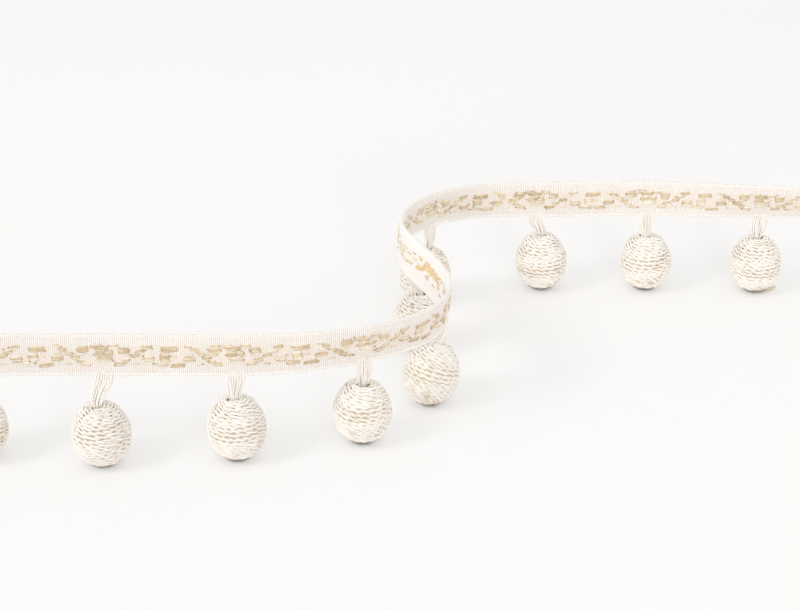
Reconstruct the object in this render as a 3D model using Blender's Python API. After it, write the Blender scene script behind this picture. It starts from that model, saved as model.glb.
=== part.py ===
# Pompom fringe trim: a woven tape that stands in an S-shaped curve on ten yarn-wound balls,
# each hung from the tape's lower edge by a small fan of soft yarns.
# Metres, +Z up. The origin is on the ground, under the middle of the trim's box.

import math
from collections import namedtuple

import bmesh
import bpy
from mathutils import Euler, Matrix, Vector

MM = 0.001

# Driving dimensions
REPEAT = 38.4 * MM              # along the tape, from one ball to the next
BALL_COUNT = 10
BALL_WIDTH = 18.0 * MM
BALL_HEIGHT = 20.3 * MM
TAPE_WIDTH = 12.7 * MM
TAPE_BORDER_THICKNESS = 1.0 * MM
TAPE_BAND_THICKNESS = 1.2 * MM  # the patterned band is woven thicker than the plain borders
TAPE_BAND_SHARE = 0.5           # of the tape's width
TAPE_MIDDLE_HEIGHT = 33.8 * MM  # above the ground
GAP = 0.3 * MM                  # between pieces that touch

# Ball: wound in broad shallow turns, with a dimple on top where the yarns go in
BALL_SIDES = 18
BALL_RINGS = 18
WOUND_TURNS = 5
TURN_SWELL = 0.14 * MM
DIMPLE_DEPTH = 1.3 * MM
FLAT_SPOT_DEPTH = 0.15 * MM     # how much of the ball's underside is pressed flat

# Hanger: a narrow strip under the tape's edge, with the yarns fused to it
YARN_COUNT = 5
YARN_WIDTH = 0.62 * MM
YARN_END_WIDTH = 0.55 * MM
YARN_PARTING = 0.5 * MM         # between two yarns at the strip
YARN_RINGS = 4
STRIP_THICKNESS = 0.9 * MM
STRIP_HEIGHT = 0.7 * MM
BUNCH_RADIUS = 1.3 * MM         # of the yarns' centres where they reach the ball

# Course of the tape. station: in repeats, a ball at each whole number. heading: degrees, 0 to
# the right, turning away from the viewer. lean: degrees, the top edge tipped to the tape's left.
CourseRow = namedtuple("CourseRow", "station heading lean")
COURSE = (
    CourseRow(-0.5, 8.5, 6.0),
    CourseRow(0.8, -0.4, 7.5),
    CourseRow(1.8, -0.4, 7.5),
    CourseRow(2.3, 5.7, 5.0),
    CourseRow(2.8, 17.5, -6.0),
    CourseRow(3.3, 32.0, -10.0),
    CourseRow(3.8, 66.8, -5.0),
    CourseRow(4.3, 107.3, -11.0),
    CourseRow(4.8, 114.9, -15.0),
    CourseRow(5.3, 94.1, -6.0),
    CourseRow(5.8, 54.1, -7.5),
    CourseRow(6.3, 23.1, -8.5),
    CourseRow(6.8, 1.5, -4.5),
    CourseRow(7.5, 1.5, -1.0),
    CourseRow(8.5, -4.2, -6.5),
    CourseRow(9.5, -4.1, -15.0),
)
STRAIGHT_START = 0.8            # the one straight stretch, a single flat facet on either face
STRAIGHT_END = 1.8
STEPS_PER_REPEAT = 40           # of the sum that turns headings into places
STEPS_PER_FACET = 4             # so a facet of the curved stretches is a tenth of a repeat

# How each ball stands. along, left: mm from under its place on the tape's edge, in the tape's
# direction and to its left. right, near: degrees that its axis tips to the right and to the front.
BallRow = namedtuple("BallRow", "along left right near")
BALLS = (
    BallRow(-0.1, 0.0, 3.0, 4.0),
    BallRow(-1.6, -3.7, -4.5, 4.0),
    BallRow(-0.5, 0.2, -2.0, 0.0),
    BallRow(0.0, 1.6, 1.0, 4.0),
    BallRow(-0.6, 4.1, 16.0, -14.0),
    BallRow(-1.9, -4.8, 1.0, -3.0),
    BallRow(-1.3, 0.4, 7.0, -4.0),
    BallRow(2.6, 1.2, -2.0, -1.0),
    BallRow(0.4, 0.4, -2.0, 1.0),
    BallRow(-0.2, 0.2, -1.0, -1.0),
)

# Where the five yarns stand in the bunch at the ball, as shares of the bunch's radius
BunchRow = namedtuple("BunchRow", "along left")
BUNCH = (
    BunchRow(-1.0, 0.0),
    BunchRow(-0.45, 0.5),
    BunchRow(0.0, -0.5),
    BunchRow(0.45, 0.5),
    BunchRow(1.0, 0.0),
)

# Finishes: colour, roughness
TAPE_FINISH = ((0.86, 0.83, 0.78), 0.85)
HANGER_FINISH = ((0.88, 0.85, 0.80), 0.8)
BALL_FINISH = ((0.82, 0.77, 0.69), 0.75)


def start_slopes(column):
    """The slope of one column of the course at each row, level where the column turns round."""
    runs = [
        (getattr(after, column) - getattr(before, column)) / (after.station - before.station)
        for before, after in zip(COURSE, COURSE[1:])
    ]
    slopes = [runs[0]]
    for before, after in zip(runs, runs[1:]):
        same_way = before * after > 0
        slopes.append(2 * before * after / (before + after) if same_way else 0.0)
    slopes.append(runs[-1])
    return slopes


def read_course(column, station):
    """One column of the course at a station, smoothly between its rows."""
    row = max(i for i in range(len(COURSE) - 1) if i == 0 or COURSE[i].station <= station)
    before, after = COURSE[row], COURSE[row + 1]
    slopes = start_slopes(column)
    span = after.station - before.station
    t = (station - before.station) / span
    return (
        getattr(before, column) * (2 * t**3 - 3 * t**2 + 1)
        + getattr(after, column) * (3 * t**2 - 2 * t**3)
        + span * slopes[row] * (t**3 - 2 * t**2 + t)
        + span * slopes[row + 1] * (t**3 - t**2)
    )


def trace_course():
    """Station and place in plan of the tape's middle, a step at a time from its left end."""
    first, last = COURSE[0].station, COURSE[-1].station
    steps = round((last - first) * STEPS_PER_REPEAT)
    step_length = REPEAT / STEPS_PER_REPEAT
    place = Vector((0.0, 0.0, TAPE_MIDDLE_HEIGHT))
    traced = [(first, place.copy())]
    for step in range(steps):
        middle = first + (step + 0.5) / STEPS_PER_REPEAT
        heading = math.radians(read_course("heading", middle))
        place += step_length * Vector((math.cos(heading), math.sin(heading), 0.0))
        traced.append((first + (step + 1) / STEPS_PER_REPEAT, place.copy()))
    return traced


def tape_frame(traced, station):
    """The tape's own axes at a station: X along it, Y to its left, Z up its width."""
    index = round((station - COURSE[0].station) * STEPS_PER_REPEAT)
    heading = math.radians(read_course("heading", station))
    lean = math.radians(read_course("lean", station))
    turn = Matrix.Rotation(heading, 4, "Z") @ Matrix.Rotation(-lean, 4, "X")
    return Matrix.Translation(traced[index][1]) @ turn


def make_material(name, finish):
    """A plain finish of one colour and one roughness."""
    colour, roughness = finish
    material = bpy.data.materials.new(name)
    material.use_nodes = True
    shader = material.node_tree.nodes["Principled BSDF"]
    shader.inputs["Base Color"].default_value = (*colour, 1.0)
    shader.inputs["Roughness"].default_value = roughness
    shader.inputs["Metallic"].default_value = 0.0
    return material


def make_object(name, bm, matrix, material, owner):
    """An object of the trim from a finished bmesh, placed under the trim's empty."""
    mesh = bpy.data.meshes.new(name)
    bm.to_mesh(mesh)
    bm.free()
    mesh.materials.append(material)
    mesh.shade_smooth()
    mesh.set_sharp_from_angle(angle=math.radians(40))
    piece = bpy.data.objects.new(name, mesh)
    piece.parent = owner
    piece.matrix_local = matrix
    bpy.data.collections["pompom_fringe_trim"].objects.link(piece)
    return piece


def tape_section(frame):
    """The eight corners of the tape's section, up its right side and down its left."""
    edge, band = TAPE_WIDTH / 2, TAPE_WIDTH * TAPE_BAND_SHARE / 2
    thin, thick = TAPE_BORDER_THICKNESS / 2, TAPE_BAND_THICKNESS / 2
    right = [(-thin, -edge), (-thick, -band), (-thick, band), (-thin, edge)]
    left = [(thin, edge), (thick, band), (thick, -band), (thin, -edge)]
    return [frame @ Vector((0.0, across, up)) for across, up in right + left]


def tape_stations():
    """Where the tape's facets meet: close together on the bends, none on the straight stretch."""
    steps = round((COURSE[-1].station - COURSE[0].station) * STEPS_PER_REPEAT / STEPS_PER_FACET)
    stations = [COURSE[0].station + i * STEPS_PER_FACET / STEPS_PER_REPEAT for i in range(steps + 1)]
    margin = 0.5 / STEPS_PER_REPEAT
    return [s for s in stations if not STRAIGHT_START + margin < s < STRAIGHT_END - margin]


def build_tape(traced, owner):
    """The woven tape: one section lofted along the course, cut plainly at both ends."""
    bm = bmesh.new()
    rings = [
        [bm.verts.new(corner) for corner in tape_section(tape_frame(traced, station))]
        for station in tape_stations()
    ]
    for before, after in zip(rings, rings[1:]):
        for i in range(len(before)):
            j = (i + 1) % len(before)
            bm.faces.new((before[i], after[i], after[j], before[j]))
    bm.faces.new(rings[0])
    bm.faces.new(list(reversed(rings[-1])))
    bmesh.ops.recalc_face_normals(bm, faces=bm.faces)
    return make_object("tape", bm, Matrix.Identity(4), make_material("tape", TAPE_FINISH), owner)


def wind_ball(bm):
    """Shapes a unit sphere into the wound ball: taller than wide, in shallow turns, dimpled on top."""
    for vert in bm.verts:
        fall = math.acos(max(-1.0, min(1.0, vert.co.z)))
        round_angle = math.atan2(vert.co.y, vert.co.x)
        swell = TURN_SWELL * math.sin(fall) * math.cos(2 * WOUND_TURNS * fall - round_angle)
        radius = BALL_WIDTH / 2 - TURN_SWELL + swell
        vert.co.x *= radius
        vert.co.y *= radius
        vert.co.z *= BALL_HEIGHT / 2
        if fall < math.pi / BALL_RINGS / 2:
            vert.co.z -= DIMPLE_DEPTH


def ball_turn(row):
    """How a ball's axis is tipped, to the right and to the front."""
    return Euler((math.radians(row.near), math.radians(row.right), 0.0)).to_matrix().to_4x4()


def ball_matrix(traced, number, bm):
    """Where a wound ball stands: under its place on the tape, its underside pressed to the ground."""
    row = BALLS[number]
    frame = tape_frame(traced, number)
    root = frame @ Vector((0.0, 0.0, -TAPE_WIDTH / 2))
    heading = math.radians(read_course("heading", number))
    offset = Matrix.Rotation(heading, 4, "Z") @ Vector((row.along * MM, row.left * MM, 0.0))
    turn = ball_turn(row)
    lowest = min((turn @ vert.co).z for vert in bm.verts)
    height = -lowest - FLAT_SPOT_DEPTH
    return Matrix.Translation((root.x + offset.x, root.y + offset.y, height)) @ turn


def build_ball(traced, number, material, owner):
    """One ball, wound, tipped and pressed flat where it stands. Returns its matrix."""
    bm = bmesh.new()
    bmesh.ops.create_uvsphere(bm, u_segments=BALL_SIDES, v_segments=BALL_RINGS, radius=1.0)
    wind_ball(bm)
    matrix = ball_matrix(traced, number, bm)
    to_local = matrix.inverted()
    cut = bmesh.ops.bisect_plane(
        bm,
        geom=bm.verts[:] + bm.edges[:] + bm.faces[:],
        plane_co=to_local @ Vector((0.0, 0.0, 0.0)),
        plane_no=to_local.to_3x3() @ Vector((0.0, 0.0, -1.0)),
        clear_outer=True,
    )
    rim = [item for item in cut["geom_cut"] if isinstance(item, bmesh.types.BMEdge)]
    bmesh.ops.contextual_create(bm, geom=rim)
    bmesh.ops.recalc_face_normals(bm, faces=bm.faces)
    make_object(f"ball_{number + 1:02d}", bm, matrix, material, owner)
    return matrix


def strip_cuts():
    """Where the strip is parted into a cell for each yarn and one for each space between two."""
    length = YARN_COUNT * YARN_WIDTH + (YARN_COUNT - 1) * YARN_PARTING
    cuts, place = [], -length / 2
    for _ in range(YARN_COUNT - 1):
        cuts += [place + YARN_WIDTH, place + YARN_WIDTH + YARN_PARTING]
        place += YARN_WIDTH + YARN_PARTING
    return length, cuts


def drop_yarn(bm, face, end, down):
    """Draws one yarn out of the strip's underside to its end, bending into the ball's axis."""
    root = face.calc_center_median()
    reach = (end - root).length / 3
    bends = (root, root + Vector((0.0, 0.0, -reach)), end - down * reach, end)
    corners = [vert.co - root for vert in face.verts]
    depth_share = YARN_END_WIDTH / STRIP_THICKNESS
    for ring in range(1, YARN_RINGS + 1):
        t = ring / YARN_RINGS
        weights = ((1 - t) ** 3, 3 * t * (1 - t) ** 2, 3 * t**2 * (1 - t), t**3)
        centre = sum((bend * weight for bend, weight in zip(bends, weights)), Vector())
        narrow = 1 + (YARN_END_WIDTH / YARN_WIDTH - 1) * t
        shallow = 1 + (depth_share - 1) * t
        face = bmesh.ops.extrude_discrete_faces(bm, faces=[face])["faces"][0]
        for vert, corner in zip(face.verts, corners):
            vert.co = centre + Vector((corner.x * narrow, corner.y * shallow, 0.0))


def build_hanger(traced, number, ball, material, owner):
    """The fan of yarns from the tape's lower edge into one ball's dimple, fused to a narrow strip."""
    length, cuts = strip_cuts()
    strip_middle = -TAPE_WIDTH / 2 - GAP - STRIP_HEIGHT / 2
    matrix = tape_frame(traced, number) @ Matrix.Translation((0.0, 0.0, strip_middle))
    bm = bmesh.new()
    bmesh.ops.create_cube(bm, size=1.0)
    bmesh.ops.scale(bm, vec=(length, STRIP_THICKNESS, STRIP_HEIGHT), verts=bm.verts)
    for cut in cuts:
        bmesh.ops.bisect_plane(
            bm,
            geom=bm.verts[:] + bm.edges[:] + bm.faces[:],
            plane_co=(cut, 0.0, 0.0),
            plane_no=(1.0, 0.0, 0.0),
        )
    cells = sorted(
        (face for face in bm.faces if face.normal.z < -0.5),
        key=lambda face: face.calc_center_median().x,
    )
    to_local = matrix.inverted() @ ball
    down = (to_local.to_3x3() @ Vector((0.0, 0.0, -1.0))).normalized()
    mouth = to_local @ Vector((0.0, 0.0, BALL_HEIGHT / 2 * math.cos(math.pi / BALL_RINGS) + GAP / 2))
    for face, place in zip(cells[::2], BUNCH):
        spread = Vector((place.along, place.left, 0.0)) * BUNCH_RADIUS
        drop_yarn(bm, face, mouth + spread - down * spread.dot(down), down)
    bmesh.ops.recalc_face_normals(bm, faces=bm.faces)
    make_object(f"hanger_{number + 1:02d}", bm, matrix, material, owner)


def centre_on_ground(owner):
    """Moves the whole trim so that the middle of its box is over the origin."""
    bpy.context.view_layer.update()
    points = [piece.matrix_world @ vert.co for piece in owner.children for vert in piece.data.vertices]
    middle = [(min(p[i] for p in points) + max(p[i] for p in points)) / 2 for i in range(2)]
    owner.location = (-middle[0], -middle[1], 0.0)


def build_trim():
    """The whole trim under one empty."""
    collection = bpy.data.collections.new("pompom_fringe_trim")
    bpy.context.scene.collection.children.link(collection)
    owner = bpy.data.objects.new("trim", None)
    collection.objects.link(owner)
    traced = trace_course()
    build_tape(traced, owner)
    ball_material = make_material("ball_yarn", BALL_FINISH)
    hanger_material = make_material("hanger_yarn", HANGER_FINISH)
    for number in range(BALL_COUNT):
        ball = build_ball(traced, number, ball_material, owner)
        build_hanger(traced, number, ball, hanger_material, owner)
    centre_on_ground(owner)


for old in list(bpy.data.objects):
    bpy.data.objects.remove(old, do_unlink=True)
build_trim()
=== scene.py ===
import math
import random

import bmesh
import bpy
from mathutils import Euler, Matrix, Vector


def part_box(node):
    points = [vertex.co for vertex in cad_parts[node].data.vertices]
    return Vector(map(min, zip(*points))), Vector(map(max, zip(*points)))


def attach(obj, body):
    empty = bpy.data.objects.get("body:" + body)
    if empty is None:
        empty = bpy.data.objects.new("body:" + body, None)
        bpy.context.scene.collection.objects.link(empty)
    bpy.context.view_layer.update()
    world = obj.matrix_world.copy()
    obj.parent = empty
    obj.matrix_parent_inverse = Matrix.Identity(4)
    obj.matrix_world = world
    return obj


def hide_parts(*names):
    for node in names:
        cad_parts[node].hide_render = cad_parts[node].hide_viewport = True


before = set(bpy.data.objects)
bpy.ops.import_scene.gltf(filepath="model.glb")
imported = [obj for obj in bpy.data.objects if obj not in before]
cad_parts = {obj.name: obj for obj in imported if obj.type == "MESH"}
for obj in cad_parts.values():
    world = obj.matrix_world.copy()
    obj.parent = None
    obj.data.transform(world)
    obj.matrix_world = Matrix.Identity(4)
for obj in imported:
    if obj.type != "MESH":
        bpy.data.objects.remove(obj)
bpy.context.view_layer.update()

mm = 0.001

# The tape's course: it stands in an S, woven flat and then bent onto this line.
# Rows are station in repeats, heading and lean in degrees; a ball hangs at each whole station.
course = {
    "repeat": 38.4 * mm,
    "tapeWidth": 12.7 * mm,
    "tapeThickness": 1.0 * mm,
    "middleHeight": 33.8 * mm,
    "samplesPerRepeat": 256,
    "rows": [
        (-0.5, 8.5, 6.0), (0.8, -0.4, 7.5), (1.8, -0.4, 7.5), (2.3, 5.7, 5.0),
        (2.8, 17.5, -6.0), (3.3, 32.0, -10.0), (3.8, 66.8, -5.0), (4.3, 107.3, -11.0),
        (4.8, 114.9, -15.0), (5.3, 94.1, -6.0), (5.8, 54.1, -7.5), (6.3, 23.1, -8.5),
        (6.8, 1.5, -4.5), (7.5, 1.5, -1.0), (8.5, -4.2, -6.5), (9.5, -4.1, -15.0),
    ],
}


def steadySlopes(column):
    # slope at each row, level where the column turns round, so nothing overshoots
    rows = course["rows"]
    runs = [(b[column] - a[column]) / (b[0] - a[0]) for a, b in zip(rows, rows[1:])]
    slopes = [runs[0]]
    for a, b in zip(runs, runs[1:]):
        slopes.append(2 * a * b / (a + b) if a * b > 0 else 0.0)
    return slopes + [runs[-1]]


slopesOf = {1: steadySlopes(1), 2: steadySlopes(2)}


def readCourse(column, station):
    rows = course["rows"]
    i = max(k for k in range(len(rows) - 1) if k == 0 or rows[k][0] <= station)
    span = rows[i + 1][0] - rows[i][0]
    t = (station - rows[i][0]) / span
    return (
        rows[i][column] * (2 * t**3 - 3 * t**2 + 1)
        + rows[i + 1][column] * (3 * t**2 - 2 * t**3)
        + span * slopesOf[column][i] * (t**3 - 2 * t**2 + t)
        + span * slopesOf[column][i + 1] * (t**3 - t**2)
    )


def traceCourse():
    # place, along, left and up at every sample, before the trim is set down over the origin
    first, last = course["rows"][0][0], course["rows"][-1][0]
    count = round((last - first) * course["samplesPerRepeat"])
    step = course["repeat"] / course["samplesPerRepeat"]
    place = Vector((0.0, 0.0, course["middleHeight"]))
    samples = []
    for k in range(count + 1):
        station = first + k / course["samplesPerRepeat"]
        heading = math.radians(readCourse(1, station))
        lean = math.radians(readCourse(2, station))
        along = Vector((math.cos(heading), math.sin(heading), 0.0))
        side = Vector((-math.sin(heading), math.cos(heading), 0.0))
        up = Vector((0.0, 0.0, math.cos(lean))) + side * math.sin(lean)
        samples.append([place.copy(), along, up.cross(along), up])
        middle = math.radians(readCourse(1, min(last, station + 0.5 / course["samplesPerRepeat"])))
        place += step * Vector((math.cos(middle), math.sin(middle), 0.0))
    return samples


def setDown(samples):
    # slides the line so that the tape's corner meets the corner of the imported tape's box
    half, thick = course["tapeWidth"] / 2, course["tapeThickness"] / 2
    corners = []
    for place, _, left, up in samples:
        corners += [place + up * a + left * b for a in (-half, half) for b in (-thick, thick)]
    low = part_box("tape")[0]
    for axis in (0, 1):
        shift = low[axis] - min(c[axis] for c in corners)
        for sample in samples:
            sample[0][axis] += shift
    return samples


samples = setDown(traceCourse())
tapeLength = (len(samples) - 1) * course["repeat"] / course["samplesPerRepeat"]


def bend(flat):
    # flat is (along from the left end, depth with the reverse side positive, height from the middle)
    t = flat[0] / tapeLength * (len(samples) - 1)
    k = max(0, min(len(samples) - 2, int(t)))
    t -= k
    a, b = samples[k], samples[k + 1]
    place = a[0].lerp(b[0], t)
    return place + a[2].lerp(b[2], t) * flat[1] + a[3].lerp(b[3], t) * flat[2]


def alongAt(station):
    return (station - course["rows"][0][0]) * course["repeat"]


print("course traced:", round(tapeLength / mm), "mm of tape")


# Shader maths as plain expressions
class Wire:
    def __init__(self, paint, socket):
        self.paint, self.socket = paint, socket

    def of(self, name):
        return Wire(self.paint, self.socket.node.outputs[name])

    def do(self, operation, a, b=0.0):
        return self.paint.node("ShaderNodeMath", {"operation": operation}, {0: a, 1: b})

    def __add__(self, other):
        return self.do("ADD", self, other)

    def __sub__(self, other):
        return self.do("SUBTRACT", self, other)

    def __rsub__(self, other):
        return self.do("SUBTRACT", other, self)

    def __mul__(self, other):
        return self.do("MULTIPLY", self, other)

    def cos(self):
        return self.do("COSINE", self)

    def floor(self):
        return self.do("FLOOR", self)

    def size(self):
        return self.do("ABSOLUTE", self)

    def clip(self):
        return self.do("MINIMUM", self.do("MAXIMUM", self, 0.0), 1.0)


class Paint:
    def __init__(self, name, fixed):
        self.material = bpy.data.materials.new(name)
        self.material.use_nodes = True
        self.tree = self.material.node_tree
        self.shader = self.tree.nodes["Principled BSDF"]
        for socket, value in fixed.items():
            self.shader.inputs[socket].default_value = value

    def node(self, kind, settings=None, inputs=None, out=0):
        node = self.tree.nodes.new(kind)
        for key, value in (settings or {}).items():
            setattr(node, key, value)
        for key, value in (inputs or {}).items():
            if isinstance(value, Wire):
                self.tree.links.new(value.socket, node.inputs[key])
            else:
                node.inputs[key].default_value = value
        return Wire(self, node.outputs[out])

    def mix(self, factor, a, b):
        ends = {k: (*v, 1.0) if isinstance(v, tuple) else v for k, v in ((6, a), (7, b))}
        return self.node("ShaderNodeMix", {"data_type": "RGBA"}, {0: factor, **ends}, out=2)

    def feed(self, socket, wire):
        self.tree.links.new(wire.socket, self.shader.inputs[socket])

    def bump(self, height, strength, distance):
        inputs = {"Height": height, "Strength": strength, "Distance": distance}
        self.feed("Normal", self.node("ShaderNodeBump", None, inputs))

    def place(self):
        return self.node("ShaderNodeTexCoord", out="Object")

    def depth(self):
        return self.node("ShaderNodeAttribute", {"attribute_name": "depth"}, out="Fac")

    def noise(self, where, scale, detail=2.0):
        return self.node("ShaderNodeTexNoise", None, {"Vector": where, "Scale": scale, "Detail": detail})


def finish(name, mesh, paints, replaced=()):
    # a finished piece: at the origin, smooth, riding on the one body
    piece = bpy.data.objects.new(name, mesh)
    bpy.context.collection.objects.link(piece)
    if not mesh.materials:
        for paint in paints:
            mesh.materials.append(paint.material)
    mesh.shade_smooth()
    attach(piece, "root")
    if replaced:
        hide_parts(*replaced)
    return piece


def spinYarn(name, strands, thick, paints):
    # strands are (points, finish number); the tubes are drawn as one curve and made a mesh
    curve = bpy.data.curves.new(name, "CURVE")
    for paint in paints:
        curve.materials.append(paint.material)
    curve.dimensions = "3D"
    curve.bevel_depth = thick / 2
    curve.bevel_resolution = 1  # six sides round
    curve.use_fill_caps = True
    for points, number in strands:
        spline = curve.splines.new("POLY")
        spline.points.add(len(points) - 1)
        spline.points.foreach_set("co", [x for p in points for x in (*p, 1.0)])
        spline.material_index = number
    holder = bpy.data.objects.new(name, curve)
    mesh = bpy.data.meshes.new_from_object(holder)
    bpy.data.objects.remove(holder)
    return mesh


def markDepth(mesh, depthAt):
    # how far each point lies below the yarn's crown, for the finishes to paint shade by; 0 to 1 here,
    # and up to 1.5 where a ball meets the ground
    layer = mesh.attributes.new("depth", "FLOAT", "POINT")
    layer.data.foreach_set("value", [min(1.0, max(0.0, depthAt(v.co))) for v in mesh.vertices])


# Tape: ribbed across, with a patterned band between plain borders
tape = {
    "ribsPerRepeat": 64,
    "columnsPerRib": 4,
    "rowHeights": [-6.2, -5.9, -5.3, -4.4, -3.55, -3.2, -1.1, 1.1, 3.2, 3.55, 4.4, 5.3, 6.0, 6.35],
    "ribRelief": 0.06 * mm,
    "bandProud": 0.08 * mm,
    "bandHalf": 3.3 * mm,
    "bandRibs": 0.6,  # share of the borders' relief
    "selvedge": 0.9 * mm,
    "rimThin": 0.5,
    "scallop": 0.11 * mm,
    "loopEvery": 1.2 * mm,
    "loopYarn": 0.32 * mm,
    "loopOut": 0.42 * mm,
    "loopHalf": 0.2 * mm,
    "loopFront": 0.2 * mm,
    "loopShape": ((-1, -0.2), (-0.75, 0.7), (0, 1), (0.75, 0.7), (1, -0.2)),
    # heights on the tape in mm, for its finish
    "pickEvery": 1.2,
    "rimFrom": 5.5,
    "hemFrom": -5.35,
    "cream": (0.67, 0.585, 0.515),
    "ivory": (0.925, 0.90, 0.87),
    "speck": (0.76, 0.66, 0.54),
    "paleCream": (0.83, 0.775, 0.72),
    "hem": (0.90, 0.87, 0.835),
}


def weaveTape():
    ribs = round(tapeLength / course["repeat"] * tape["ribsPerRepeat"])
    ribWidth = tapeLength / ribs
    columns, rows = ribs * tape["columnsPerRib"], len(tape["rowHeights"]) - 1
    bm = bmesh.new()
    bmesh.ops.create_grid(bm, x_segments=columns, y_segments=rows, size=0.5)
    for v in bm.verts:
        row = round((v.co.y + 0.5) * rows)
        v.co = ((v.co.x + 0.5) * tapeLength, 0.0, tape["rowHeights"][row] * mm)
    bm.normal_update()
    bmesh.ops.solidify(bm, geom=bm.faces[:], thickness=course["tapeThickness"])
    middle = sum(v.co.y for v in bm.verts) / len(bm.verts)
    for face in bm.faces:
        face.material_index = 1 if face.calc_center_median().y > middle + 0.1 * mm else 0
    half = course["tapeWidth"] / 2
    uv = bm.loops.layers.uv.new("cloth")
    for face in bm.faces:
        for loop in face.loops:
            loop[uv].uv = (loop.vert.co.x / ribWidth, loop.vert.co.z / mm)
    for v in bm.verts:
        x, y, z = v.co.x, v.co.y - middle, v.co.z
        rib = math.cos(2 * math.pi * x / ribWidth)
        band = abs(z) < tape["bandHalf"]
        rim = max(0.0, (abs(z) - half + tape["selvedge"]) / tape["selvedge"])
        relief = tape["ribRelief"] * rib * (tape["bandRibs"] if band else 1.0)
        proud = (tape["bandProud"] if band else 0.0) + relief
        y = math.copysign(abs(y) * (1 - tape["rimThin"] * rim) + proud * (1 - rim), y)
        z += rim * tape["scallop"] * math.copysign(math.cos(math.pi * x / ribWidth), z)
        v.co = bend((x, y, z))
    bmesh.ops.recalc_face_normals(bm, faces=bm.faces[:])
    mesh = bpy.data.meshes.new("tapeWeave")
    bm.to_mesh(mesh)
    bm.free()
    return mesh


def tapeFinish(name, cream, speck):
    paint = Paint(name, {"Roughness": 0.9, "Sheen Weight": 0.2, "Sheen Roughness": 0.6})
    across = paint.node("ShaderNodeUVMap", {"uv_map": "cloth"})
    split = paint.node("ShaderNodeSeparateXYZ", None, {0: across}, out="X")
    u, v = split.of("X"), split.of("Y")
    rib = (u * (2 * math.pi)).cos() * 0.5 + 0.5
    # the picks of one rib lie half a step from those of the next
    picks = (v * (2 * math.pi / tape["pickEvery"]) + (u + 0.5).floor() * math.pi).cos() * 0.5 + 0.5
    inBand = ((tape["bandHalf"] / mm - v.size()) * 4.0).clip()
    atRim = ((v.size() - tape["rimFrom"]) * 2.0).clip()
    uneven = paint.noise(paint.place(), 1200.0)
    patchy = paint.noise(paint.place(), 60.0, 3.0)
    # painted shade: the rib valleys are coloured towards cream and the crests towards ivory; the noise adds
    # an uneven tone
    light = (rib * 0.8 + uneven * 0.5 - 0.15 + atRim * 0.15).clip()
    cloth = paint.mix(light, cream, tape["ivory"])
    cloth = paint.mix((inBand * (1.0 - picks) * 0.7).clip(), cloth, speck)
    cloth = paint.mix(((patchy - 0.45) * 0.6).clip(), cloth, cream)
    # the lower edge is plain white, without ribs
    cloth = paint.mix(((tape["hemFrom"] - v) * 3.0).clip() * 0.8, cloth, tape["hem"])
    paint.feed("Base Color", cloth)
    paint.bump(uneven, 0.25, 0.05 * mm)
    return paint


def edgeLoops(paints):
    # the weft turns back in a row of tiny loops along both edges
    pick = random.Random(11)
    strands = []
    half, front = tape["loopHalf"], -tape["loopFront"]
    base = course["tapeWidth"] / 2 - tape["loopYarn"] / 2
    count = round(tapeLength / tape["loopEvery"]) - 1
    for n in range(count):
        x = (n + 1) * tapeLength / (count + 1)
        for edge in (-1, 1):
            out = tape["loopOut"] * pick.uniform(0.5, 1.3)
            points = [(x + half * a, front, edge * (base + out * b)) for a, b in tape["loopShape"]]
            strands.append((points, 0))
    mesh = spinYarn("tapeLoops", strands, tape["loopYarn"], paints)
    for v in mesh.vertices:
        v.co = bend(v.co)
    return mesh


tapePaints = [
    tapeFinish("tapeCotton", tape["cream"], tape["speck"]),
    tapeFinish("tapeReverse", tape["paleCream"], tape["paleCream"]),
]
tapePiece = finish("tapeWeave", weaveTape(), tapePaints, ["tape"])
loopPaint = Paint("loopCotton", {"Roughness": 0.9, "Sheen Weight": 0.2})
loopNoise = loopPaint.noise(loopPaint.place(), 700.0)
loopPaint.feed("Base Color", loopPaint.mix((loopNoise * 0.6).clip(), tape["ivory"], tape["cream"]))
tapeLoops = finish("tapeLoops", edgeLoops([loopPaint]), [loopPaint])
print("tape woven:", len(tapePiece.data.polygons), "faces")
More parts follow.
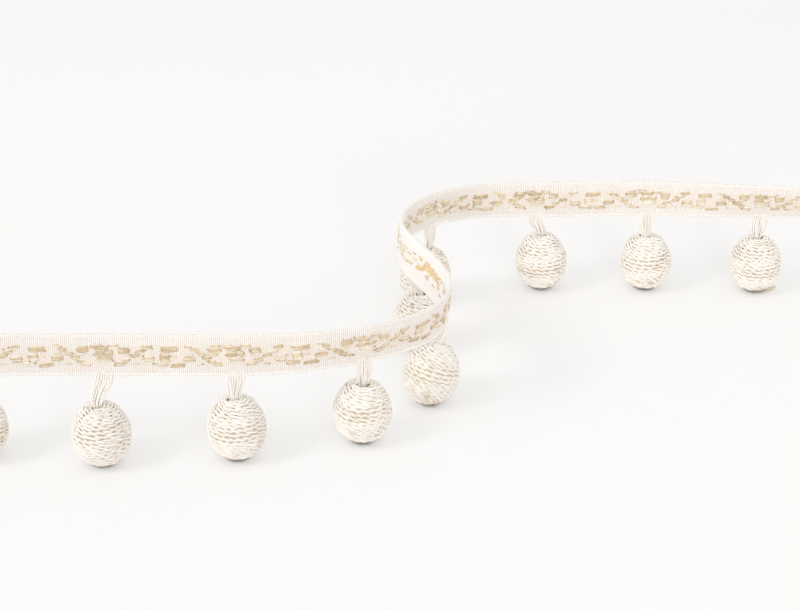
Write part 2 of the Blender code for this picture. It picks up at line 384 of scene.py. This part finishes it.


# Pattern: floats of gold yarn over the weave, charted in mm from each motif's middle.
# Rows are start and end along, height, rise, threads and tone (0 deep, 1 middling, 2 pale).
pattern = {
    "thread": 0.41 * mm,
    "threadGap": 0.4 * mm,
    "slant": 0.14,
    "archHeight": 0.12 * mm,
    "dip": 0.24 * mm,
    "steps": (0.0, 0.07, 0.2, 0.5, 0.8, 0.93, 1.0),
    "overlap": 0.25 * mm,
    "diveShadeChance": 0.13,
    "diveShadeHalf": 0.35 * mm,
    "diveShadeTilt": 0.3 * mm,
    "diveShadeShape": ((-1, -0.25), (-0.5, 0.1), (0.5, 0.1), (1, -0.25)),
    "stagger": 0.25 * mm,
    "shorten": 0.25,  # mm for each thread away from a float's middle
    "endMargin": 0.4 * mm,
    "rosette": [
        (-2.6, 2.5, 1.95, 0.05, 4, 0), (-2.7, -0.1, 0.5, 0.0, 2, 2), (-2.9, 0.2, -0.15, 0.0, 2, 1),
        (0.7, 2.0, -0.3, 0.0, 1, 2), (-2.8, 0.1, -0.85, 0.0, 2, 1), (-2.4, 0.4, -1.55, 0.0, 2, 2),
        (-4.5, -0.6, -2.65, -0.1, 3, 1), (0.4, 4.5, -3.0, 0.15, 3, 0),
        # leaves on either side
        (3.8, 7.5, -0.95, 0.1, 4, 0), (-7.7, -4.6, -0.5, 0.1, 2, 2), (-8.0, -4.3, -1.15, 0.0, 2, 1),
        (-7.4, -4.6, -1.8, 0.0, 2, 1),
        # stems down to the scallops, falling away from the bar on both sides
        (4.5, 6.6, 2.9, -0.15, 2, 1), (6.1, 8.4, 1.75, -0.15, 3, 0), (7.9, 10.3, 0.5, -0.2, 3, 1),
        (9.5, 12.2, -0.7, -0.2, 3, 0), (11.3, 13.4, -1.65, -0.1, 3, 1), (12.6, 15.4, -2.6, -0.2, 3, 1),
        (-8.1, -5.2, 2.55, 0.25, 3, 1), (-9.9, -7.1, 1.3, 0.3, 3, 1), (-11.2, -8.8, 0.0, 0.2, 3, 0),
        (-13.8, -11.5, -1.4, 0.25, 3, 1), (-16.0, -13.0, -2.45, 0.2, 4, 1),
        # sprigs
        (-10.7, -9.3, -2.6, 0.0, 1, 1), (8.1, 9.4, -2.6, 0.0, 1, 2), (5.2, 6.9, 0.6, 0.0, 1, 2),
    ],
    "arch": [
        (-7.8, -4.1, 1.75, 0.1, 4, 0), (-7.0, -4.5, 2.85, 0.0, 2, 1), (-3.9, -0.7, 2.95, 0.05, 3, 1),
        (1.5, 4.4, 3.0, 0.0, 3, 1), (4.2, 7.4, 1.9, 0.0, 3, 0), (4.4, 7.1, 0.9, 0.1, 3, 1),
        (-2.5, 1.5, 2.2, 0.1, 3, 0), (-2.2, 0.6, 1.35, 0.0, 2, 2), (1.0, 2.2, 1.55, 0.1, 1, 1),
        (-2.9, 0.3, 0.35, 0.1, 3, 0), (0.8, 2.7, 0.4, 0.35, 3, 1), (-2.0, 2.7, -1.0, 0.1, 4, 2),
        (-8.1, -5.4, 0.4, 0.0, 2, 2),
    ],
    # deep and pale of each tone, the last being the brown of short dashes painted as shade where a thread
    # dives into the weave
    "tones": [((0.42, 0.30, 0.16), (0.76, 0.61, 0.42)), ((0.50, 0.38, 0.23), (0.85, 0.73, 0.55)),
              ((0.64, 0.54, 0.40), (0.91, 0.85, 0.75)), ((0.28, 0.19, 0.10), (0.58, 0.44, 0.29))],
}


def floatThreads(motifs, side, seed, drift, diveShade):
    # every thread of every float, on the flat tape; side is -1 in front and 1 on the reverse,
    # drift shifts a thread's tone and the last argument is the finish of the short brown dashes at their
    # ends, painted shade where a thread dives into the weave
    pick = random.Random(seed)
    surface = course["tapeThickness"] / 2 + tape["bandProud"]
    rises = pattern["archHeight"] + pattern["dip"]
    margin = pattern["endMargin"]
    strands = []
    for station, rows in motifs:
        for start, end, height, rise, threads, tone in rows:
            for k in range(threads):
                spread = k - (threads - 1) / 2
                short = pattern["shorten"] * abs(spread)
                a = alongAt(station) + (start + short) * mm - pattern["overlap"]
                b = alongAt(station) + (end - short) * mm + pattern["overlap"]
                a += pick.uniform(-1, 1) * pattern["stagger"]
                b += pick.uniform(-1, 1) * pattern["stagger"]
                points = []
                slant = rise + pick.uniform(-1, 1) * pattern["slant"]
                for t in pattern["steps"]:
                    raised = math.sin(math.pi * t) ** 0.5 * rises - pattern["dip"]
                    z = (height + slant * (2 * t - 1)) * mm + spread * pattern["threadGap"]
                    points.append((a + (b - a) * t, side * (surface + raised), z))
                if points[0][0] > margin and points[-1][0] < tapeLength - margin:
                    strands.append((points, max(0, min(2, tone + pick.choice(drift)))))
                    # now and then a short brown dash at one end, painted shade where the thread dives into
                    # the weave
                    if pick.random() < pattern["diveShadeChance"]:
                        x, half = pick.choice((a, b)), pattern["diveShadeHalf"]
                        tilt = pick.uniform(-1, 1) * pattern["diveShadeTilt"]
                        points = [(x + half * u, side * (surface + w * mm), z + u * tilt)
                                  for u, w in pattern["diveShadeShape"]]
                        strands.append((points, diveShade))
    return strands


def layFloats(name, threads, side, paints):
    # the threads are spun flat, marked for depth, and then bent with the tape
    mesh = spinYarn(name, threads, pattern["thread"], paints)
    surface = course["tapeThickness"] / 2 + tape["bandProud"]
    crown = pattern["archHeight"] + pattern["thread"] * 0.2
    markDepth(mesh, lambda co: 1 - (side * co.y - surface) / crown)
    for v in mesh.vertices:
        v.co = bend(v.co)
    return finish(name, mesh, paints)


def goldFinish(name, deep, pale):
    paint = Paint(name, {"Roughness": 0.5, "Sheen Weight": 0.2})
    where = paint.place()
    streak = paint.noise(where, 1400.0)
    patch = paint.noise(where, 180.0)
    # painted shade: each thread is darker along its underside and where it dips below its crown
    normal = paint.node("ShaderNodeNewGeometry", out="Normal")
    upward = paint.node("ShaderNodeSeparateXYZ", None, {0: normal}, out="Z")
    light = 0.72 - paint.depth() * 1.2 + upward * 0.7 + (streak - 0.5) * 1.6 + (patch - 0.5) * 1.6
    paint.feed("Base Color", paint.mix(light.clip(), deep, pale))
    paint.bump(streak, 0.3, 0.05 * mm)
    return paint


motifs = [(n + 0.5, pattern["rosette"]) for n in range(-1, 10)]
motifs += [(n, pattern["arch"]) for n in range(10)]
frontThreads = floatThreads(motifs, -1, 3, (-1, 0, 1), 3)
frontPaints = [goldFinish(f"goldYarn{k}", *tone) for k, tone in enumerate(pattern["tones"])]
frontGold = layFloats("patternFront", frontThreads, -1, frontPaints)
print("front pattern:", len(frontThreads), "threads")

# Reverse: the same yarn carried loosely behind, so its floats lie where the front has none
reverse = {
    "motif": [
        # a golden drift along the upper half, turning down at its right
        (-6.9, -3.7, 2.2, -0.2, 2, 0), (-4.1, -0.9, 1.6, -0.1, 2, 0), (-1.3, 2.2, 1.7, 0.1, 3, 0),
        (1.5, 5.0, 1.9, 0.2, 3, 0), (2.8, 5.9, 2.9, 0.0, 2, 0), (4.6, 7.7, 0.8, -0.2, 3, 0),
        (7.6, 11.4, -0.8, -0.3, 3, 0), (8.3, 10.4, 2.5, 0.0, 3, 0), (-2.6, 0.4, 0.5, 0.2, 1, 1),
        (2.4, 5.6, 1.1, 0.1, 3, 0), (-0.4, 2.0, 2.6, 0.1, 2, 0), (-4.4, -2.0, 0.9, 0.1, 2, 0),
        # brown ends below it
        (1.5, 3.1, -0.5, 0.1, 1, 2), (1.9, 3.6, -1.4, 0.0, 1, 2), (-6.7, -5.0, 0.5, 0.1, 1, 2),
        (-7.4, -5.2, -0.6, 0.1, 2, 0), (-9.5, -8.1, -2.2, 0.0, 1, 2), (-3.8, -2.2, -1.7, 0.0, 1, 1),
        # paler clusters between one drift and the next
        (13.4, 15.0, 2.4, 0.1, 1, 2), (13.6, 17.3, -1.2, -0.2, 3, 1), (17.6, 20.6, -1.6, 0.1, 3, 1),
        (-17.2, -14.4, 0.2, 0.1, 3, 1), (-16.2, -13.6, -1.3, 0.2, 3, 1), (-14.4, -11.8, 1.4, 0.2, 2, 1),
        (-12.0, -10.6, 0.5, 0.1, 1, 2), (-11.2, -8.9, 2.4, 0.0, 1, 1), (16.0, 18.2, 1.3, 0.0, 2, 1),
        (11.8, 14.2, 0.9, 0.2, 2, 1), (-18.9, -17.0, 1.8, 0.1, 2, 1), (-13.4, -11.8, -0.3, 0.0, 2, 1),
        # short stitches filling the drift
        (-5.6, -4.2, 1.3, 0.2, 1, 0), (-3.4, -2.2, 2.5, 0.0, 2, 0), (-0.9, 0.3, 2.8, 0.1, 1, 2),
        (0.6, 1.9, 0.8, 0.2, 2, 0), (3.2, 4.6, 1.0, -0.1, 2, 1), (5.4, 6.5, 1.9, 0.2, 1, 2),
        (6.2, 7.4, 0.0, 0.1, 2, 0), (-8.2, -6.9, 1.9, 0.1, 2, 1), (9.2, 10.6, 0.2, 0.1, 1, 0),
    ],
    "tones": [((0.56, 0.35, 0.12), (0.88, 0.67, 0.36)), ((0.58, 0.44, 0.27), (0.86, 0.75, 0.56)),
              ((0.34, 0.23, 0.13), (0.66, 0.50, 0.33))],
}
reverseThreads = floatThreads([(n + 0.5, reverse["motif"]) for n in range(-1, 10)], 1, 5, (0,), 2)
reversePaints = [goldFinish(f"goldYarnReverse{k}", *tone) for k, tone in enumerate(reverse["tones"])]
reverseGold = layFloats("patternReverse", reverseThreads, 1, reversePaints)
print("reverse pattern:", len(reverseThreads), "threads")

# Balls: two-ply yarn wound round from the dimple to the underside.
# Rows are how far along and left of its place on the tape in mm, and the tip to the right and
# to the front in degrees.
balls = {
    "width": 18.0 * mm,
    "height": 20.3 * mm,
    "pressed": 0.15 * mm,
    "yarn": 1.3 * mm,
    "ply": 0.78 * mm,
    "plyOffset": 0.32 * mm,
    "plyPitch": 5.0 * mm,
    "pitch": 1.02 * mm,
    "shoulder": 0.4 * mm,
    "step": 0.5 * mm,
    "stepSpread": (0.85, 1.15),
    "pitchWander": 0.04,
    "bandWander": 0.07,
    "swell": 0.08 * mm,
    "plyUneven": 0.3,
    # flecks of gold lie over a ply; all but their lift is counted in the ply's points
    "fleckEvery": 190,
    "fleckLength": 4,
    "fleckStray": 20,
    "fleckLift": 0.03 * mm,
    "mouth": 1.8 * mm,
    "foot": 0.8 * mm,
    "dimple": 2.4 * mm,
    "footShade": 2.4 * mm,
    "footBlend": 0.5 * mm,
    "undersideGrooveShade": 0.3,
    "coreInset": 0.45,  # of the yarn's width
    "woundWithin": 1.03,  # of a ball's half size, where its yarn ends and a loose end begins
    "rows": [
        (-0.1, 0.0, 3.0, 4.0), (-1.6, -3.7, -4.5, 4.0), (-0.5, 0.2, -2.0, 0.0), (0.0, 1.6, 1.0, 4.0),
        (-0.6, 4.1, 16.0, -14.0), (-1.9, -4.8, 1.0, -3.0), (-1.3, 0.4, 7.0, -4.0), (2.6, 1.2, -2.0, -1.0),
        (0.4, 0.4, -2.0, 1.0), (-0.2, 0.2, -1.0, -1.0),
    ],
    "ivory": (0.915, 0.885, 0.84),
    "cream": (0.885, 0.83, 0.76),
    "gold": (0.72, 0.59, 0.42),
    "insideShade": (0.62, 0.49, 0.34),
    "grooveShade": (0.47, 0.36, 0.23),
    "shade": (0.24, 0.18, 0.13),
    # the loose end of yarn beside the last ball, in mm from that ball's middle
    "tail": [(2.6, -2.2, -9.45), (4.3, -1.7, -9.4), (6.0, -0.6, -9.45), (7.5, 0.7, -9.5)],
}


def ballPlace(number):
    # centre and turn of a ball, as the solid stands
    along, left, right, near = balls["rows"][number]
    turn = Euler((math.radians(near), math.radians(right), 0.0)).to_matrix()
    down = turn.transposed() @ Vector((0.0, 0.0, 1.0))
    a, c = balls["width"] / 2, balls["height"] / 2
    height = math.sqrt((a * down.x) ** 2 + (a * down.y) ** 2 + (c * down.z) ** 2) - balls["pressed"]
    root = bend((alongAt(number), 0.0, -course["tapeWidth"] / 2))
    heading = math.radians(readCourse(1, number))
    side = Vector((-math.sin(heading), math.cos(heading), 0.0))
    centre = root + Vector((math.cos(heading), math.sin(heading), 0.0)) * (along * mm) + side * (left * mm)
    return Matrix.Translation((centre.x, centre.y, height)) @ turn.to_4x4()


def shoulderAt(fall):
    # the ball stands a little fuller round its dimple
    return balls["shoulder"] * math.exp(-((fall - 0.55) / 0.3) ** 2)


def windBall(number):
    pick = random.Random(40 + number)
    a = balls["width"] / 2 - balls["yarn"] / 2
    c = balls["height"] / 2 - balls["yarn"] / 2
    start, end = math.asin(balls["mouth"] / a), math.pi - math.asin(balls["foot"] / a)
    turns = (end - start) * (a + c) / 2 / balls["pitch"]
    first, slant = pick.uniform(0, 2 * math.pi), pick.uniform(0, 2 * math.pi)
    plies, run, t = ([], []), 0.0, 0.0
    while t < 1:
        fall, spin = start + (end - start) * t, first + t * turns * 2 * math.pi
        # turns crowd and part a little, in slow bands of their own
        fall += math.sin(fall) * balls["pitchWander"] * balls["pitch"] / a * math.sin(spin * 0.37 + first)
        band = math.sin(spin * 1.04 + slant) * math.sin(spin * 0.09 + slant)
        fall += math.sin(fall) ** 2 * balls["bandWander"] * band
        facing, away = Vector((math.cos(spin), math.sin(spin), 0.0)), math.sin(fall)
        out = Vector((away * facing.x / a, away * facing.y / a, math.cos(fall) / c)).normalized()
        middle = Vector((a * away * facing.x, a * away * facing.y, c * math.cos(fall)))
        middle += out * shoulderAt(fall)
        middle += out * balls["swell"] * math.sin(spin * 0.81 + slant)
        ahead = Vector((-math.sin(spin), math.cos(spin), 0.0))
        across = ahead.cross(out)
        for k, ply in enumerate(plies):
            twist = 2 * math.pi * run / balls["plyPitch"] + k * math.pi
            ply.append(middle + (out * math.cos(twist) + across * math.sin(twist)) * balls["plyOffset"])
        t += balls["step"] / (2 * math.pi * max(a * away, 0.4 * mm) * turns)
        uneven = 1 + balls["plyUneven"] * math.sin(spin * 0.63 + slant)
        run += balls["step"] * pick.uniform(*balls["stepSpread"]) * uneven
    flecks, stray, lift = [], balls["fleckStray"], 1 + balls["fleckLift"] / a
    for ply in plies:
        firstFleck = pick.randrange(balls["fleckEvery"])
        for i in range(firstFleck, len(ply) - balls["fleckLength"], balls["fleckEvery"]):
            i += pick.randrange(-stray, stray) if i > stray else 0
            flecks.append(([p * lift for p in ply[i:i + balls["fleckLength"]]], 3))
    # the loose end is real yarn, given the darker gold finish as painted shade beneath it
    if number == len(balls["rows"]) - 1:
        flecks.append(([Vector(p) * mm for p in balls["tail"]], 3))
    return [(plies[0], 0), (plies[1], 1)] + flecks


def buildBall(number, paints):
    name = f"ballYarn{number + 1:02d}"
    mesh = spinYarn(name, windBall(number), balls["ply"], paints)
    a, c = balls["width"] / 2, balls["height"] / 2
    inUnits = Vector((1 / a, 1 / a, 1 / c))  # a ball's surface lies at length 1 in these

    def below(place):
        scaled = place * inUnits
        fall = math.acos(max(-1.0, min(1.0, scaled.z / scaled.length)))
        depth = ((1 - scaled.length) * a + shoulderAt(fall)) / balls["yarn"]
        # painted shade: the underside counts deeper, so its grooves are painted darker
        return depth + balls["undersideGrooveShade"] * max(0.0, -scaled.z - 0.5)

    markDepth(mesh, below)
    bm = bmesh.new()
    bm.from_mesh(mesh)
    # a core under the yarn, coloured a darker tan as painted shade in the gaps between the turns and down
    # the dimple
    core = bmesh.ops.create_uvsphere(bm, u_segments=32, v_segments=32, radius=1.0)["verts"]
    inset = balls["yarn"] * balls["coreInset"]
    bmesh.ops.scale(bm, vec=(a - inset, a - inset, c - inset), verts=core)
    for v in core:
        away = math.hypot(v.co.x, v.co.y) / (balls["mouth"] * 1.1)
        if v.co.z > 0 and away < 1:
            v.co.z -= balls["dimple"] * (1 - away ** 2)
    for face in {f for v in core for f in v.link_faces}:
        face.material_index = 2
    wound = {v for v in bm.verts if (v.co * inUnits).length < balls["woundWithin"]}
    bmesh.ops.transform(bm, matrix=ballPlace(number), verts=bm.verts[:])
    # pressed flat on the ground, with shade painted dark where it meets it; a loose end gets none of it
    depth = bm.verts.layers.float["depth"]
    for v in bm.verts:
        shade = (balls["footShade"] - v.co.z) / balls["footBlend"]
        if v in wound:
            v[depth] = max(v[depth], min(1.5, shade))
        v.co.z = max(v.co.z, 0.0)
    bm.to_mesh(mesh)
    bm.free()
    return finish(name, mesh, paints, [f"ball_{number + 1:02d}"])


def yarnFinish(name, colour, tint, amount, grooveShade=None):
    paint = Paint(name, {"Roughness": 0.65, "Sheen Weight": 0.2, "Sheen Roughness": 0.5})
    where = paint.place()
    patch = paint.noise(where, 190.0, 3.0)
    fibre = paint.noise(where, 2200.0, 2.0)
    stain = ((patch - 0.6) * 8.0).clip() * amount
    yarn = paint.mix((stain + (fibre - 0.5) * 0.4).clip(), colour, tint)
    if grooveShade:
        # painted shade in the grooves between turns, deepening with depth below the crown
        yarn = paint.mix(((paint.depth() - 0.24) * 2.6 + (patch - 0.5) * 1.2).clip() * 0.8, yarn, grooveShade)
        # painted shade at the foot, where the ball meets the ground
        yarn = paint.mix(((paint.depth() - 1.0) * 2.0).clip() * 0.9, yarn, balls["shade"])
    paint.feed("Base Color", yarn)
    paint.bump(fibre, 0.35, 0.06 * mm)
    return paint


ballPaints = [
    yarnFinish("ballIvory", balls["ivory"], balls["gold"], 0.3, balls["grooveShade"]),
    yarnFinish("ballCream", balls["cream"], balls["gold"], 0.5, balls["grooveShade"]),
    yarnFinish("ballInsideShade", balls["insideShade"], balls["grooveShade"], 0.5),
    yarnFinish("ballGold", balls["gold"], balls["cream"], 0.5, balls["grooveShade"]),
]
for number in range(len(balls["rows"])):
    buildBall(number, ballPaints)
print("balls wound:", len(balls["rows"]))

# Hangers: soft yarns from the tape's lower edge into each dimple
hangers = {
    "yarns": 14,
    "fan": 4.7 * mm,
    "belly": 1.1 * mm,
    "bunch": 1.6 * mm,
    "ply": 0.37 * mm,
    "plyOffset": 0.11 * mm,
    "plyPitch": 2.2 * mm,
    "points": 22,
    "sunk": 1.6 * mm,
    "tuck": 1.5 * mm,
    "mouthDown": 0.2 * mm,
    "lift": 0.05 * mm,
    "stagger": 0.3 * mm,  # every second yarn lies this much behind the others
    "rootStray": 0.2 * mm,
    "sway": 0.3 * mm,
    "white": (0.92, 0.875, 0.82),
    "cream": (0.87, 0.80, 0.73),
}


def drawHanger(number):
    pick = random.Random(70 + number)
    ball = ballPlace(number)
    down = (ball.to_3x3() @ Vector((0.0, 0.0, -1.0))).normalized()
    mouth = ball @ Vector((0.0, 0.0, balls["height"] / 2 - hangers["mouthDown"]))
    rootZ = -course["tapeWidth"] / 2 + hangers["tuck"]
    along = samples[round(alongAt(number) / tapeLength * (len(samples) - 1))][1]
    side = Vector((-along.y, along.x, 0.0))
    strands = []
    for n in range(hangers["yarns"]):
        share = n / (hangers["yarns"] - 1) - 0.5
        depth = -course["tapeThickness"] / 2 - hangers["lift"] + (n % 2) * hangers["stagger"]
        height = rootZ + pick.uniform(-1, 1) * hangers["rootStray"]
        root = bend((alongAt(number) + share * hangers["fan"], depth, height))
        angle = math.pi * (n / (hangers["yarns"] - 1)) * (1 if n % 2 else -1)
        spread = along * (2 * share * hangers["bunch"]) + side * (0.6 * hangers["bunch"] * math.sin(angle))
        entry = mouth + spread - down * spread.dot(down)
        end = entry + down * hangers["sunk"] - spread * 0.3
        reach = (end - root).length
        sway = Vector((pick.uniform(-1, 1), pick.uniform(-1, 1), 0.0)) * hangers["sway"]
        sway += along * (share * hangers["belly"])
        knots = (root, root + Vector((0, 0, -0.5 * reach)) + sway, entry - down * 0.35 * reach + sway, end)
        start = pick.uniform(0, 6.28)
        plies = ([], [])
        for i in range(hangers["points"]):
            t = i / (hangers["points"] - 1)
            weights = ((1 - t) ** 3, 3 * t * (1 - t) ** 2, 3 * t**2 * (1 - t), t**3)
            middle = sum((k * w for k, w in zip(knots, weights)), Vector())
            twist = start + 2 * math.pi * t * reach / hangers["plyPitch"]
            for k, ply in enumerate(plies):
                turn = twist + k * math.pi
                ply.append(middle + (along * math.cos(turn) + side * math.sin(turn)) * hangers["plyOffset"])
        strands += [(plies[0], 0), (plies[1], 0)]
    return strands


hangerPaint = yarnFinish("hangerCotton", hangers["white"], hangers["cream"], 0.4)
for number in range(len(balls["rows"])):
    name = f"hangerYarn{number + 1:02d}"
    mesh = spinYarn(name, drawHanger(number), hangers["ply"], [hangerPaint])
    finish(name, mesh, [hangerPaint], [f"hanger_{number + 1:02d}"])

# Floor, light and camera
studio = {
    "floorHalf": 3.0,
    "floorColour": (0.48, 0.476, 0.473),
    "floorGlow": (1.0, 0.99, 0.98),
    "glowStrength": 0.438,
    "glowReach": 1.2 * mm,
    "glowLeast": 0.1,
    "worldColour": (1.0, 0.995, 0.985, 1.0),
    "world": 0.86,
    # place, what it is aimed at, size, power and spread in degrees; the last lifts the far run
    "lamps": [
        ((-1.1, -0.6, 1.0), (0.0, 0.0, 0.0), 0.5, 6.4, 180),
        ((0.3, -1.5, 0.9), (0.0, 0.0, 0.0), 1.4, 2.6, 180),
        ((0.3, -1.1, 0.4), (0.10, 0.05, 0.02), 0.3, 0.082, 26),
    ],
    "cameraFrom": (0.0478, -0.5209, 0.3075),
    "cameraStation": 2.0,
    "pitchDown": 26.3,
    "focalPixels": 2021.8,
    "picturePixels": 800,
    "sensor": 36.0,
}


def buildStudio():
    bm = bmesh.new()
    bmesh.ops.create_grid(bm, x_segments=1, y_segments=1, size=studio["floorHalf"])
    mesh = bpy.data.meshes.new("floor")
    bm.to_mesh(mesh)
    bm.free()
    # the sheet is lit from below as well, so shadows on it stay faint
    paint = Paint("floorPaper", {
        "Roughness": 0.9,
        "Base Color": (*studio["floorColour"], 1.0),
        "Emission Strength": studio["glowStrength"],
    })
    # and that glow fades where a ball stands over it
    reach, least = {"Distance": studio["glowReach"]}, studio["glowLeast"]
    clear = paint.node("ShaderNodeAmbientOcclusion", {"samples": 8}, reach, out="AO")
    dark = tuple(least * x for x in studio["floorGlow"])
    paint.feed("Emission Color", paint.mix(((clear - least) * 1.4).clip(), dark, studio["floorGlow"]))
    mesh.materials.append(paint.material)
    floor = bpy.data.objects.new("floor", mesh)
    bpy.context.collection.objects.link(floor)

    world = bpy.data.worlds.new("studioWhite")
    world.use_nodes = True
    sky = world.node_tree.nodes["Background"]
    sky.inputs["Color"].default_value = studio["worldColour"]
    sky.inputs["Strength"].default_value = studio["world"]
    bpy.context.scene.world = world

    for place, target, size, power, spread in studio["lamps"]:
        light = bpy.data.lights.new("softLamp", "AREA")
        light.energy, light.size, light.spread = power, size, math.radians(spread)
        lamp = bpy.data.objects.new("softLamp", light)
        lamp.location = place
        lamp.rotation_euler = (Vector(target) - Vector(place)).to_track_quat("-Z", "Y").to_euler()
        bpy.context.collection.objects.link(lamp)

    lens = bpy.data.cameras.new("camera")
    lens.sensor_width = studio["sensor"]
    lens.lens = studio["focalPixels"] / studio["picturePixels"] * studio["sensor"]
    lens.clip_start = 0.01
    camera = bpy.data.objects.new("camera", lens)
    under = bend((alongAt(studio["cameraStation"]), 0.0, 0.0))
    camera.location = (under.x, under.y, 0.0)
    camera.location += Vector(studio["cameraFrom"])
    camera.rotation_euler = (math.radians(90 - studio["pitchDown"]), 0.0, 0.0)
    bpy.context.collection.objects.link(camera)
    bpy.context.scene.camera = camera
    bpy.context.scene.view_settings.view_transform = "Standard"


buildStudio()
print("studio set")
